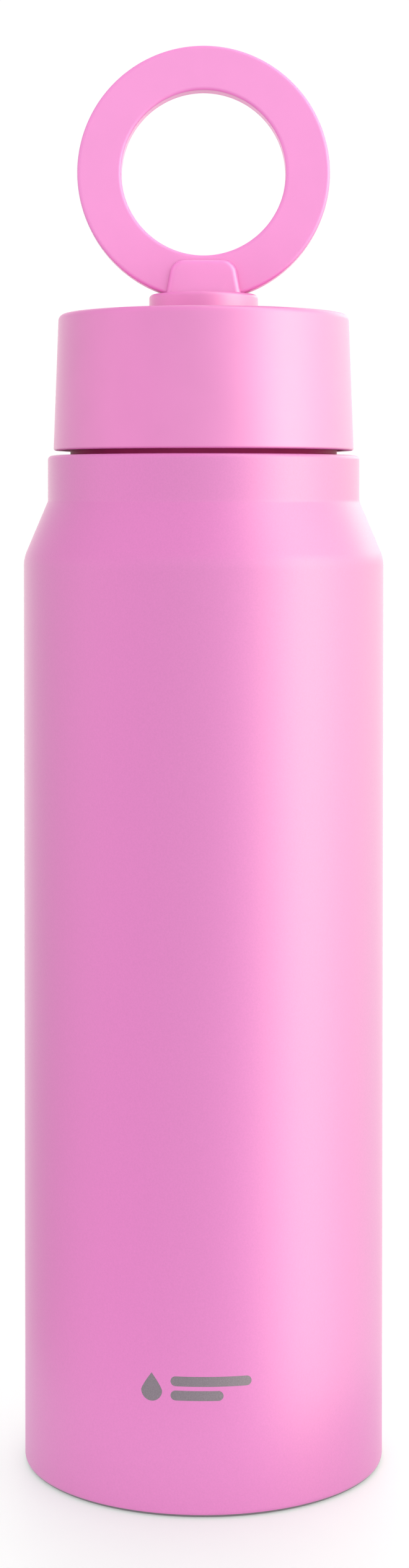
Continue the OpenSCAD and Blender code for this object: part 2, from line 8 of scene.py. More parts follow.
import bmesh
import bpy
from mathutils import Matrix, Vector


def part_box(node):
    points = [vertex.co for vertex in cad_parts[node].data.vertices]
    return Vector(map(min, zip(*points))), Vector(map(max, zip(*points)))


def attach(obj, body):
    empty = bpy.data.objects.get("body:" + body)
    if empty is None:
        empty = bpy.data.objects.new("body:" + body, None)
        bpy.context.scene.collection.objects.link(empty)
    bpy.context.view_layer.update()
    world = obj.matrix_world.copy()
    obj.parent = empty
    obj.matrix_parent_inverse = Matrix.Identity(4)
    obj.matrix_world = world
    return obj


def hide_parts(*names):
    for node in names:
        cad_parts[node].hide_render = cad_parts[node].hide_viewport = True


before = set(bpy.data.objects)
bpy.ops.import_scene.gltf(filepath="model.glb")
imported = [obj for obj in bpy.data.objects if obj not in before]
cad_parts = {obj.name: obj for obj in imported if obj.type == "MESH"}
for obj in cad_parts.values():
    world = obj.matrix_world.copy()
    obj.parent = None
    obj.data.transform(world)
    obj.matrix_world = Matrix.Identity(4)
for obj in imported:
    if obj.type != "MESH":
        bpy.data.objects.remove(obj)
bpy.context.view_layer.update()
MM = 0.001


def node_box(node):
    """Lowest and highest corner of a CAD node, in millimetres."""
    low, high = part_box(node)
    return low / MM, high / MM


# ---------------------------------------------------------------- sizes

shell_high = node_box("outer_shell")[1]
BODY_R = shell_high.x
RIM_Z = shell_high.z
liner_high = node_box("inner_liner")[1]
gasket_low, gasket_high = node_box("lid_gasket")
cap_low, cap_high = node_box("lid_shell")
CAP_R = cap_high.x
SKIRT_Z = cap_low.z
CAP_Z = cap_high.z
plug_low, plug_high = node_box("lid_plug")
COLLAR_R = plug_high.x
turret_low, turret_high = node_box("turret_cover")
TURRET_R = turret_high.x
TURRET_Z = turret_high.z
FLANGE_Z = turret_low.z
ring_low, ring_high = node_box("ring_housing")
RING_R = ring_high.x
RING_Z = (ring_low.z + ring_high.z) / 2
RING_FRONT = ring_low.y
RING_SPLIT = ring_high.y
RING_BACK = node_box("ring_back_plate")[1].y
tongue_high = node_box("tilt_bracket")[1]
cover_low, cover_high = node_box("base_cover")
pin_low, pin_high = node_box("hinge_pin")
PIN_R = (pin_high.z - pin_low.z) / 2
PIN_Y = (pin_low.y + pin_high.y) / 2
PIN_Z = (pin_low.z + pin_high.z) / 2

WALL = 0.6  # outer shell
LINER_WALL = 0.5
MOUTH_R = 30.0
NECK_WALL = 4.65
NECK_R = MOUTH_R + NECK_WALL
NECK_H = 10.1
SHOULDER_H = 12.6
FOOT_W = 3.4
FOOT_EDGE = 0.8  # the coat stops this high above the foot; the dark bare steel below it also paints the contact shade
MOUTH_DEPTH = 19.8
LEDGE_Z = RIM_Z - MOUTH_DEPTH
LEDGE_W = 3.2
THROAT_R = MOUTH_R - LEDGE_W
THROAT_H = 3.0
LINER_SLOPE_H = 12.0
FLOOR_Z = 10.0
THREAD_LEAD = 8.0
THREAD_STARTS = 2
THREAD_TURNS = 1.0
THREAD_DEPTH = 1.3
THREAD_FIT = 0.45
THREAD_ROOT_W = 1.6
THREAD_CREST_W = 0.8
SLACK = 0.1  # the least room between two pieces
FEMALE_Z = gasket_high.z + SLACK + THREAD_LEAD / THREAD_STARTS / 2 + THREAD_ROOT_W / 2 + SLACK
MALE_Z = FEMALE_Z - THREAD_LEAD / THREAD_STARTS / 2
CAP_DRAFT = 1.15
CAP_WALL = 2.0
CAP_TOP_T = 2.6
SEAT_DEPTH = 0.6
HUB_R = 8.0
RING_HOLE_R = 18.2
RING_EDGE_R = 0.8
RING_WALL = 1.4
KNUCKLE_R = PIN_R + 0.8
KNUCKLE_W = 7.8
TONGUE_T = 2.0
GAP = 0.3  # the usual room between two pieces

SUPPORT = 0.25  # from a corner to the extra point that keeps its shading tight
THREAD_STEP = 0.4  # height of one row of faces on a thread
SHARP_DEG = 32  # edges sharper than this are shaded as edges
WELD = 1e-8  # metres; points closer than this become one
TINY = 1e-9

# ---------------------------------------------------------------- mesh building


def unit(v):
    return v.normalized()


def corner_arc(a, b, c, r, steps):
    """Points of the arc of radius r that rounds corner b of the path a, b, c."""
    u, v = unit(a - b), unit(c - b)
    half = math.acos(max(-1, min(1, u.dot(v)))) / 2
    centre = b + unit(u + v) * r / math.sin(half)
    first = b + u * r / math.tan(half) - centre
    last = b + v * r / math.tan(half) - centre
    start = math.atan2(first.y, first.x)
    sweep = math.atan2(last.y, last.x) - start
    sweep = (sweep + math.pi) % (2 * math.pi) - math.pi
    return [
        centre + r * Vector((math.cos(start + sweep * i / steps), math.sin(start + sweep * i / steps)))
        for i in range(steps + 1)
    ]


def rounded(path, steps=8):
    """A closed outline from (across, up, corner radius) points."""
    points = [Vector(p[:2]) for p in path]
    out = []
    for i, p in enumerate(path):
        before, here, after = points[i - 1], points[i], points[(i + 1) % len(points)]
        if p[2] > 0:
            out += corner_arc(before, here, after, p[2], steps)
        else:
            out.append(here)
    return out


def supported(outline, longest=None, thread=None):
    """The outline with extra points close to the ends of its long sides, so that smooth shading stays true,
    and with fine steps along the side that carries a thread."""
    out = []
    for i, a in enumerate(outline):
        b = outline[(i + 1) % len(outline)]
        out.append(a)
        length = (b - a).length
        if length > 4 * SUPPORT:
            side = unit(b - a)
            inner = [a + side * SUPPORT, b - side * SUPPORT]
            step = THREAD_STEP if thread and thread.on(a) and thread.on(b) else longest
            if step:
                n = max(1, math.ceil((length - 2 * SUPPORT) / step))
                inner = [inner[0].lerp(inner[1], k / n) for k in range(n + 1)]
            out += inner
    return out


def finish_mesh(name, verts, faces):
    """An object from points in millimetres, welded, with outward faces and smooth shading."""
    mesh = bpy.data.meshes.new(name)
    bm = bmesh.new()
    made = [bm.verts.new(Vector(v) * MM) for v in verts]
    for f in faces:
        if len(set(f)) > 2:
            bm.faces.new([made[i] for i in f])
    bmesh.ops.remove_doubles(bm, verts=bm.verts, dist=WELD)
    bmesh.ops.recalc_face_normals(bm, faces=bm.faces)
    bm.to_mesh(mesh)
    bm.free()
    smooth(mesh)
    obj = bpy.data.objects.new(name, mesh)
    bpy.context.scene.collection.objects.link(obj)
    return obj


def smooth(mesh):
    mesh.polygons.foreach_set("use_smooth", [True] * len(mesh.polygons))
    mesh.set_sharp_from_angle(angle=math.radians(SHARP_DEG))


def lathe(name, path, segments=256, centre=None, steps=8, thread=None, longest=None):
    """Turns a closed outline about Z, or about the ring's own Y axis if centre is given."""
    outline = supported(rounded(path, steps), longest, thread)
    verts, faces = [], []
    n = len(outline)
    for s in range(segments):
        angle = 2 * math.pi * s / segments
        for p in outline:
            r = p.x + (thread.height(angle, p) if thread else 0)
            x, y = r * math.cos(angle), r * math.sin(angle)
            verts.append((x, y, p.y) if centre is None else (centre[0] + x, p.y, centre[1] + y))
    for s in range(segments):
        t = (s + 1) % segments
        for i in range(n):
            j = (i + 1) % n
            if outline[i].x < TINY and outline[j].x < TINY:
                continue  # this side lies on the axis
            faces.append((s * n + i, s * n + j, t * n + j, t * n + i))
    return finish_mesh(name, verts, faces)


def ring_lathe(name, path, **options):
    return lathe(name, path, centre=(0.0, RING_Z), **options)


def loft(name, outline, rows, put):
    """A solid skinned over copies of an outline, each moved inwards by an inset and put at a level."""
    verts = [put(p.x, p.y, level) for inset, level in rows for p in inset_outline(outline, inset)]
    n = len(outline)
    faces = [
        (k * n + i, k * n + (i + 1) % n, (k + 1) * n + (i + 1) % n, (k + 1) * n + i)
        for k in range(len(rows) - 1)
        for i in range(n)
    ]
    faces.append(tuple(range(n)))
    faces.append(tuple((len(rows) - 1) * n + i for i in range(n)))
    return finish_mesh(name, verts, faces)


def extrude(name, outline, low, high, put, bevel=0.0):
    """A closed outline drawn out from low to high, with its two rims rounded by bevel."""
    rows = []
    steps = 5 if bevel else 0
    for k in range(steps + 1):
        a = math.pi / 2 * k / steps if steps else math.pi / 2
        rows.append((bevel * (1 - math.sin(a)), low + bevel * (1 - math.cos(a))))
    rows += [(inset, high + low - level) for inset, level in reversed(rows)]
    return loft(name, outline, rows, put)


def inset_outline(outline, inset):
    """The outline moved inwards by inset; its points run anticlockwise."""
    out = []
    n = len(outline)
    for i, p in enumerate(outline):
        before, after = outline[i - 1], outline[(i + 1) % n]
        u, v = unit(p - before), unit(after - p)
        normal = unit(Vector((-u.y, u.x)) + Vector((-v.y, v.x)))
        least_turn = 0.4  # keeps the point of a very sharp corner from shooting off
        stretch = 1 / max(least_turn, normal.dot(Vector((-u.y, u.x))))
        out.append(p + normal * inset * stretch)
    return out


def apply_modifiers(obj):
    """Replaces the object's mesh with what its modifiers make of it."""
    graph = bpy.context.evaluated_depsgraph_get()
    mesh = bpy.data.meshes.new_from_object(obj.evaluated_get(graph))
    obj.modifiers.clear()
    obj.data = mesh
    smooth(mesh)
    return obj


def combine(obj, operation, others):
    """The object with the others fused to it or cut out of it; the others are used up."""
    for other in others:
        m = obj.modifiers.new(operation.lower(), "BOOLEAN")
        m.operation, m.solver, m.object = operation, "EXACT", other
    apply_modifiers(obj)
    for other in others:
        bpy.data.objects.remove(other)
    return obj


def cut(obj, *cutters):
    return combine(obj, "DIFFERENCE", cutters)


def join(obj, *others):
    return combine(obj, "UNION", others)


def soften(obj, width, angle_deg, segments):
    """Rounds the sharp edges that the cuts left."""
    m = obj.modifiers.new("soften", "BEVEL")
    m.width, m.segments, m.limit_method = width * MM, segments, "ANGLE"
    m.angle_limit = math.radians(angle_deg)
    m.use_clamp_overlap = True
    m.harden_normals = False
    return apply_modifiers(obj)


def box_solid(name, low, high):
    x, y, z = zip(low, high)
    verts = [(x[i], y[j], z[k]) for i in (0, 1) for j in (0, 1) for k in (0, 1)]
    faces = [(0, 1, 3, 2), (4, 6, 7, 5), (0, 4, 5, 1), (2, 3, 7, 6), (0, 2, 6, 4), (1, 5, 7, 3)]
    return finish_mesh(name, verts, faces)


def circle(r, segments):
    turns = [2 * math.pi * i / segments for i in range(segments)]
    return [Vector((r * math.cos(a), r * math.sin(a))) for a in turns]


def rod(name, r, low, high, put, segments=64):
    """A round bar from low to high along the axis that put() gives it."""
    return extrude(name, circle(r, segments), low, high, put)


def along_x(a, b, level):
    return (level, PIN_Y + a, PIN_Z + b)


def along_y(a, b, level):
    return (a, level, RING_Z + b)


class Thread:
    """Ridges that wind up a round wall and fade out at both ends.

    They stand outwards from the wall, or inwards if side is -1.
    """

    def __init__(self, wall_r, low, high, first_z, side):
        self.wall_r, self.low, self.high, self.first_z, self.side = wall_r, low, high, first_z, side

    def on(self, p):
        """Whether a point of the outline is on the wall that carries the thread."""
        near = 0.01
        return abs(p.x - self.wall_r) < near and self.low <= p.y <= self.high

    def height(self, angle, p):
        if not self.on(p):
            return 0.0
        best = 0.0
        for start in range(THREAD_STARTS):
            part = (angle / (2 * math.pi) - start / THREAD_STARTS) % 1
            for turn in (part, part + 1):
                if turn > THREAD_TURNS:
                    continue
                off = abs(p.y - self.first_z - THREAD_LEAD * turn)
                slope = (THREAD_ROOT_W / 2 - off) / (THREAD_ROOT_W / 2 - THREAD_CREST_W / 2)
                slope = max(0.0, min(1.0, slope))
                share = turn / THREAD_TURNS
                # the first and last quarter of the thread rise and sink
                fade = max(0.0, min(1, 4 * share, 4 * (1 - share)))
                best = max(best, slope * slope * (3 - 2 * slope) * fade)
        return self.side * THREAD_DEPTH * best


# ---------------------------------------------------------------- materials


NOISE_RANGE = (0.3, 0.7)  # where nearly all of a noise texture's values lie


class Graph:
    """The nodes and links of a material or a world."""

    def __init__(self, tree):
        self.nodes, self.links = tree.nodes, tree.links

    def math(self, operation, *values):
        node = self.nodes.new("ShaderNodeMath")
        node.operation = operation
        for i, v in enumerate(values):
            if isinstance(v, (int, float)):
                node.inputs[i].default_value = v
            else:
                self.links.new(v, node.inputs[i])
        return node.outputs[0]

    def axes(self, vector):
        """The X, Y and Z of a vector."""
        split = self.nodes.new("ShaderNodeSeparateXYZ")
        self.links.new(vector, split.inputs[0])
        return tuple(split.outputs[k] for k in "XYZ")


class Shader(Graph):
    """A node material under construction: a principled shader and helpers that feed it."""

    def __init__(self, name, color, roughness, metallic=0.0):
        self.mat = bpy.data.materials.new(name)
        self.mat.use_nodes = True
        super().__init__(self.mat.node_tree)
        self.bsdf = self.nodes["Principled BSDF"]
        self.set("Base Color", (*color, 1))
        self.set("Roughness", roughness)
        self.set("Metallic", metallic)
        self.mat.diffuse_color = (*color, 1)
        self.coords = self.nodes.new("ShaderNodeTexCoord").outputs["Object"]
        self.normal = None

    def set(self, socket, value):
        self.bsdf.inputs[socket].default_value = value

    def scaled(self, size_mm, stretch=(1, 1, 1)):
        """Coordinates that grow by one in size_mm, or slower along an axis that is stretched."""
        mapping = self.nodes.new("ShaderNodeMapping")
        mapping.inputs["Scale"].default_value = [1000 / size_mm / s for s in stretch]
        self.links.new(self.coords, mapping.inputs["Vector"])
        return mapping.outputs[0]

    def texture(self, kind, vector, detail=None):
        tex = self.nodes.new(kind)
        tex.inputs["Scale"].default_value = 1
        if detail is not None:
            tex.inputs["Detail"].default_value = detail
        self.links.new(vector, tex.inputs["Vector"])
        return tex

    def noise(self, size_mm, detail=2.0, stretch=(1, 1, 1)):
        """Noise whose features are about size_mm across, drawn out along an axis by stretch."""
        return self.texture("ShaderNodeTexNoise", self.scaled(size_mm, stretch), detail).outputs["Fac"]

    def cells(self, size_mm):
        return self.texture("ShaderNodeTexVoronoi", self.scaled(size_mm)).outputs["Color"]

    def rings(self, size_mm, detail=3.0):
        """Noise that depends only on the distance from the Z axis and on height: turned or brushed metal."""
        x, y, z = self.axes(self.coords)
        r = self.math("SQRT", self.math("ADD", self.math("MULTIPLY", x, x), self.math("MULTIPLY", y, y)))
        flat = self.nodes.new("ShaderNodeCombineXYZ")
        scale = 1000 / size_mm
        self.links.new(self.math("MULTIPLY", r, scale), flat.inputs["X"])
        self.links.new(self.math("MULTIPLY", z, scale), flat.inputs["Y"])
        return self.texture("ShaderNodeTexNoise", flat.outputs[0], detail).outputs["Fac"]

    def span(self, value, low, high, at=NOISE_RANGE):
        """Maps a noise value to a range."""
        node = self.nodes.new("ShaderNodeMapRange")
        node.inputs["From Min"].default_value, node.inputs["From Max"].default_value = at
        node.inputs["To Min"].default_value, node.inputs["To Max"].default_value = low, high
        self.links.new(value, node.inputs["Value"])
        return node.outputs["Result"]

    def mix(self, factor, a, b):
        """Feeds the base colour with a where the factor is 0 and b where it is 1."""
        node = self.nodes.new("ShaderNodeMix")
        node.data_type = "RGBA"
        for name, v in (("A", a), ("B", b)):
            if isinstance(v, tuple):
                node.inputs[name].default_value = (*v, 1)
            else:
                self.links.new(v, node.inputs[name])
        self.links.new(factor, node.inputs["Factor"])
        self.links.new(node.outputs["Result"], self.bsdf.inputs["Base Color"])

    def tint(self, value, dark, light, at=NOISE_RANGE):
        """Base colour that runs from dark to light with a noise value."""
        self.mix(self.span(value, 0, 1, at), dark, light)

    def bare_metal_and_painted_shade_below(self, level_mm, blur_mm, color):
        """Bare metal of the given colour below a height, and the material as it is above; a dark colour here
        also paints shade.
        """
        z = self.axes(self.coords)[2]
        edge = ((level_mm - blur_mm) * MM, (level_mm + blur_mm) * MM)
        above = self.bsdf.inputs["Base Color"].links[0].from_socket
        self.mix(self.span(z, 0, 1, edge), color, above)
        self.links.new(self.span(z, 1, 0, edge), self.bsdf.inputs["Metallic"])

    def rough(self, value, low, high, at=NOISE_RANGE):
        self.links.new(self.span(value, low, high, at), self.bsdf.inputs["Roughness"])

    def bump(self, value, height_mm):
        node = self.nodes.new("ShaderNodeBump")
        node.inputs["Distance"].default_value = height_mm * MM
        node.inputs["Strength"].default_value = 1
        self.links.new(value, node.inputs["Height"])
        if self.normal is not None:
            self.links.new(self.normal, node.inputs["Normal"])
        self.normal = node.outputs["Normal"]
        self.links.new(self.normal, self.bsdf.inputs["Normal"])


def shade(color, k):
    """The colour made darker, or lighter if k is over 1."""
    return tuple(c * k for c in color)


BODY_PINK = (0.625, 0.153, 0.44)
LID_PINK = (0.68, 0.17, 0.465)
# the lid's pink made lighter: painted light on the turret, which stands in the shade under the ring
TURRET_PINK_PAINTED_LIGHT = (0.74, 0.19, 0.50)
RING_PINK = (0.775, 0.21, 0.555)
# the ring's pink made lighter: painted light on the tongue, which sits in the shade close to the lid top
TONGUE_PINK_PAINTED_LIGHT = (0.80, 0.22, 0.57)


def powder_coat():
    s = Shader("powder_coat", BODY_PINK, 0.36)
    s.set("IOR", 1.9)
    s.tint(s.noise(0.35, 3), shade(BODY_PINK, 0.965), shade(BODY_PINK, 1.035))
    # dark steel round the foot: partly the uncoated edge, partly painted contact shade
    s.bare_metal_and_painted_shade_below(FOOT_EDGE, 0.06, (0.26, 0.22, 0.25))
    s.rough(s.noise(0.18, 2), 0.33, 0.40)
    s.bump(s.noise(1.1, 2), 0.010)
    s.bump(s.noise(0.3, 1), 0.0025)
    return s.mat


def moulded(name, color, roughness=0.38):
    s = Shader(name, color, roughness)
    s.set("IOR", 2.0)
    s.tint(s.noise(9, 2), shade(color, 0.985), shade(color, 1.015))
    s.rough(s.noise(0.25, 2), roughness - 0.03, roughness + 0.04)
    s.bump(s.noise(0.22, 2), 0.003)
    return s.mat


def plug_plastic():
    # the plug's pink plastic made darker and deeper than the lid's: painted shade for the thin gap under the
    # lid
    color = (0.50, 0.03, 0.16)
    s = Shader("plug_plastic", color, 0.5)
    s.set("Specular IOR Level", 0.12)
    s.tint(s.noise(6, 2), shade(color, 0.96), shade(color, 1.04))
    s.rough(s.noise(0.6, 2), 0.45, 0.55)
    s.bump(s.noise(0.4, 2), 0.002)
    return s.mat


def brushed_steel():
    color = (0.60, 0.60, 0.61)
    s = Shader("brushed_steel", color, 0.32, 1.0)
    grain = s.rings(0.12)
    s.tint(grain, shade(color, 0.9), shade(color, 1.08))
    s.rough(grain, 0.24, 0.42)
    s.bump(grain, 0.0015)
    s.bump(s.noise(7, 2), 0.02)
    return s.mat


def etched_steel():
    color = (0.24, 0.20, 0.235)
    s = Shader("etched_steel", color, 0.5, 0.4)
    s.tint(s.noise(0.18, 3), shade(color, 0.85), shade(color, 1.12))
    s.rough(s.noise(0.12, 2), 0.42, 0.6)
    s.bump(s.noise(0.10, 2, stretch=(8, 8, 1)), 0.004)
    return s.mat


def hardware():
    color = (0.56, 0.57, 0.58)
    s = Shader("hardware", color, 0.28, 1.0)
    s.tint(s.noise(1.2, 3), shade(color, 0.9), shade(color, 1.06))
    s.rough(s.noise(0.5, 3), 0.2, 0.38)
    s.bump(s.noise(0.3, 2, stretch=(1, 1, 6)), 0.002)
    return s.mat


def silicone(name, color, roughness=0.62):
    s = Shader(name, color, roughness)
    s.set("Sheen Weight", 0.15)
    s.set("Sheen Roughness", 0.5)
    s.tint(s.noise(3, 3), shade(color, 0.94), shade(color, 1.05))
    s.rough(s.noise(0.4, 2), roughness - 0.06, roughness + 0.08)
    s.bump(s.noise(0.25, 2), 0.004)
    return s.mat


def foam():
    color = (0.86, 0.83, 0.74)
    s = Shader("foam", color, 0.9)
    cells = s.cells(1.2)
    s.tint(s.noise(4, 4), shade(color, 0.9), shade(color, 1.04))
    s.bump(cells, 0.15)
    return s.mat


def natural_plastic():
    color = (0.80, 0.79, 0.80)
    s = Shader("natural_plastic", color, 0.42)
    s.set("Subsurface Weight", 0.15)
    s.set("Subsurface Radius", (0.002, 0.002, 0.002))
    s.tint(s.noise(5, 2), shade(color, 0.96), shade(color, 1.03))
    s.rough(s.noise(0.3, 2), 0.38, 0.5)
    s.bump(s.noise(0.3, 2), 0.003)
    return s.mat


def solder_glass():
    color = (0.10, 0.12, 0.10)
    s = Shader("solder_glass", color, 0.12)
    s.tint(s.noise(1.5, 4), shade(color, 0.7), shade(color, 1.5))
    s.rough(s.noise(1, 2), 0.08, 0.25)
    s.bump(s.noise(1.5, 2), 0.05)
    return s.mat


def nickel():
    color = (0.60, 0.59, 0.57)
    s = Shader("nickel_plate", color, 0.18, 1.0)
    s.tint(s.noise(2, 3), shade(color, 0.92), shade(color, 1.05))
    s.rough(s.noise(0.8, 3), 0.12, 0.28)
    s.bump(s.noise(0.5, 2), 0.001)
    return s.mat


MATS = {
    "coat": powder_coat(),
    "lid": moulded("lid_plastic", LID_PINK),
    # lid plastic with painted light for the turret
    "turret": moulded("turret_plastic_painted_light", TURRET_PINK_PAINTED_LIGHT),
    "ring": moulded("ring_plastic", RING_PINK, 0.42),
    # ring plastic with painted light for the tongue
    "tongue": moulded("tongue_plastic_painted_light", TONGUE_PINK_PAINTED_LIGHT),
    "plug": plug_plastic(),
    "steel": brushed_steel(),
    "mark": etched_steel(),
    "hardware": hardware(),
    "silicone": silicone("silicone", (0.78, 0.76, 0.77)),
    "rubber": silicone("dark_rubber", (0.03, 0.03, 0.034), 0.55),
    "foam": foam(),
    "grid": natural_plastic(),
    "glass": solder_glass(),
    "nickel": nickel(),
}


def dress(obj, mat):
    obj.data.materials.clear()
    obj.data.materials.append(MATS[mat])
    return obj


def place(obj, mat, body, slot, *nodes):
    """Gives a piece its material, the body it rides on and the nodes it stands for; the slot is not used."""
    dress(obj, mat)
    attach(obj, body)
    if nodes:
        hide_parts(*nodes)
    return obj


# ---------------------------------------------------------------- bottle


def bottle_shell():
    slope = math.atan((BODY_R - NECK_R) / SHOULDER_H)
    drop = WALL * math.tan(slope / 2)
    neck_z = RIM_Z - NECK_H
    shoulder_z = neck_z - SHOULDER_H
    foot_r = BODY_R - FOOT_W
    shell = lathe(
        "bottle_shell",
        [
            (foot_r, 0, 0),
            (BODY_R, 0, 1.5),
            (BODY_R, shoulder_z, 8),
            (NECK_R, neck_z, 2),
            (NECK_R, RIM_Z, 1),
            (MOUTH_R + LINER_WALL, RIM_Z, 0),
            (MOUTH_R + LINER_WALL, RIM_Z - WALL, 0),
            (NECK_R - WALL, RIM_Z - WALL, 0.4),
            (NECK_R - WALL, neck_z - drop, 2.6),
            (BODY_R - WALL, shoulder_z - drop, 7.4),
            (BODY_R - WALL, WALL, 0.9),
            (foot_r, WALL, 0),
        ],
        segments=288,
        steps=12,
        longest=12,
    )
    place(shell, "coat", "bottle", "body_coat", "outer_shell")


def liner():
    belly_inset = 3.5  # the shell's wall, the evacuated gap and the liner's own wall
    slope = math.atan((BODY_R - belly_inset - THROAT_R) / LINER_SLOPE_H)
    rise = LINER_WALL * math.tan(slope / 2)
    inner_r = liner_high.x - LINER_WALL
    throat_z = LEDGE_Z - THROAT_H
    belly_z = throat_z - LINER_SLOPE_H
    wall = LINER_WALL
    lead_in, plain_rim = 2.0, 5.0  # below and above the thread
    piece = lathe(
        "threaded_liner",
        [
            (0, FLOOR_Z, 0),
            (inner_r, FLOOR_Z, 8),
            (inner_r, belly_z, 6),
            (THROAT_R, throat_z, 1),
            (THROAT_R, LEDGE_Z, 0.25),
            (MOUTH_R, LEDGE_Z, 0.25),
            (MOUTH_R, LEDGE_Z + lead_in, 0),
            (MOUTH_R, RIM_Z - plain_rim, 0),
            (MOUTH_R, RIM_Z, 0.2),
            (MOUTH_R + wall, RIM_Z, 0),
            (MOUTH_R + wall, LEDGE_Z - wall, 0),
            (THROAT_R + wall, LEDGE_Z - wall, 0),
            (THROAT_R + wall, throat_z + rise, 1),
            (inner_r + wall, belly_z + rise, 6.5),
            (inner_r + wall, FLOOR_Z - wall, 8.5),
            (0, FLOOR_Z - wall, 0),
        ],
        segments=224,
        steps=8,
        thread=Thread(MOUTH_R, LEDGE_Z + lead_in, RIM_Z - plain_rim, FEMALE_Z, -1),
        longest=6,
    )
    place(piece, "steel", "bottle", "steel", "inner_liner")


def base_disc():
    """A disc with a dished middle and a raised rim, set into the base."""
    top, low, r = cover_high.z, cover_low.z, cover_high.x
    dish = 0.4
    rim_w, rim_slope = 2.4, 1.0
    piece = lathe(
        "base_disc",
        [
            (0, top, 0),
            (0, low + dish, 0),
            (r - rim_w - rim_slope, low + dish, 0.5),
            (r - rim_w, low, 0.5),
            (r, low, 0.3),
            (r, top, 0),
        ],
        segments=192,
        steps=6,
    )
    place(piece, "steel", "bottle", "steel", "base_cover")


def mark_columns(shape, count=28):
    """(across, low, high) columns of a mark: a bar with round ends, or a drop."""
    kind, x0, x1, z0, z1 = shape
    thin = 0.02  # what is left of the mark's height at its ends
    out = []
    for i in range(count + 1):
        t = 0.5 - 0.5 * math.cos(math.pi * i / count)
        x = x0 + (x1 - x0) * t
        mid, half = (z0 + z1) / 2, (z1 - z0) / 2
        if kind == "bar":
            reach = min(x - x0, x1 - x)
            h = half if reach >= half else math.sqrt(max(0.0, half**2 - (half - reach) ** 2))
            out.append((x, mid - max(h, thin), mid + max(h, thin)))
        else:
            r = (x1 - x0) / 2
            off = abs(x - (x0 + x1) / 2)
            belly = math.sqrt(max(0.0, r * r - off * off))
            hollow = 0.8  # under 1 the drop's flanks bulge
            tip = z0 + r + (z1 - z0 - r) * max(0.0, 1 - off / r) ** hollow
            low = z0 + r - belly
            out.append((x, low, max(tip, low + thin)))
    return out


def etched_mark():
    """A plain drop beside two bars, level with the coat, where the bottle carries its mark."""
    left, low, high = -13.4, 24.6, 30.6
    drop_w = 4.6
    bars_x = left + 6.4
    long_end, short_end = 10.2, 4.2
    bar_h = 2.1
    shapes = [
        ("drop", left, left + drop_w, low, high),
        ("bar", bars_x, long_end, high - 0.5 - bar_h, high - 0.5),
        ("bar", bars_x, short_end, low + 0.4, low + 0.4 + bar_h),
    ]
    outer_r, inner_r = BODY_R + 0.012, BODY_R - 0.1
    verts, faces = [], []
    for shape in shapes:
        columns = mark_columns(shape)
        base = len(verts)
        for x, z0, z1 in columns:
            angle = x / BODY_R - math.pi / 2
            for r, z in ((outer_r, z0), (outer_r, z1), (inner_r, z1), (inner_r, z0)):
                verts.append((r * math.cos(angle), r * math.sin(angle), z))
        for i in range(len(columns) - 1):
            for j in range(4):
                a, b = base + 4 * i + j, base + 4 * i + (j + 1) % 4
                faces.append((a, b, b + 4, a + 4))
        last = base + 4 * (len(columns) - 1)
        faces += [(base, base + 1, base + 2, base + 3), (last, last + 3, last + 2, last + 1)]
    piece = finish_mesh("etched_mark", verts, faces)
    place(piece, "mark", "bottle", "steel")


# ---------------------------------------------------------------- lid


def cap():
    """The tapered lid, with the seat of the turret on top and the rib that holds the plug underneath."""
    bore_r = HUB_R + 0.08
    rib_w = 1.6
    top_r = CAP_R - CAP_DRAFT
    seat_z = CAP_Z - SEAT_DEPTH
    under_z = CAP_Z - CAP_TOP_T
    rib_r = COLLAR_R - rib_w
    piece = lathe(
        "cap",
        [
            (CAP_R - CAP_WALL, SKIRT_Z, 0.3),
            (CAP_R, SKIRT_Z, 0.5),
            (top_r, CAP_Z, 1.4),
            (TURRET_R + GAP, CAP_Z, 0.2),
            (TURRET_R + GAP, seat_z, 0),
            (bore_r, seat_z, 0),
            (bore_r, under_z, 0),
            (rib_r, under_z, 0),
            (rib_r, plug_high.z, 0),
            (COLLAR_R, plug_high.z, 0),
            (COLLAR_R, under_z, 0),
            (top_r - CAP_WALL, under_z, 0),
        ],
        steps=10,
        longest=6,
    )
    place(piece, "lid", "lid", "lid_plastic", "lid_shell")


